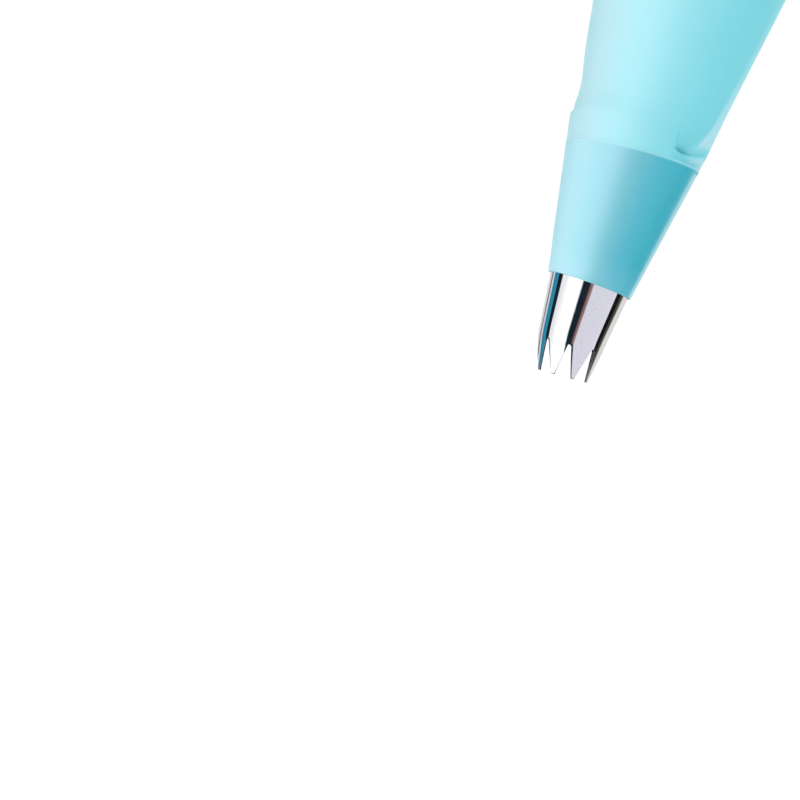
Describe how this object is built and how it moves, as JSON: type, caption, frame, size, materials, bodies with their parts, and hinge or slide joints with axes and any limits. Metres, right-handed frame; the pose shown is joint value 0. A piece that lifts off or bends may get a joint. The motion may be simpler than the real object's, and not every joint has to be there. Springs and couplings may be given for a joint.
{
  "type": "piping bag",
  "caption": "Reusable silicone piping bag with a hanging tab at its mouth and a steel open-star nozzle wedged in its tip.",
  "frame": {"origin": "on the bag's axis, in the plane of the nozzle's tooth tips", "axes": "+Z along the bag's axis from the nozzle's outlet to the open mouth; the hanging tab is on the +Y side"},
  "size_m": [0.1144, 0.1144, 0.347],
  "materials": {
    "silicone": "satin translucent silicone",
    "steel": "polished stainless steel"
  },
  "bodies": {
    "bag": {"bag": "silicone"},
    "nozzle": {"nozzle": "steel"}
  },
  "joints": [
    {"name": "nozzle_lift", "type": "slide", "parent": "bag", "child": "nozzle", "axis": [0, 0, 1], "range_m": [0, 0.35]}
  ]
}
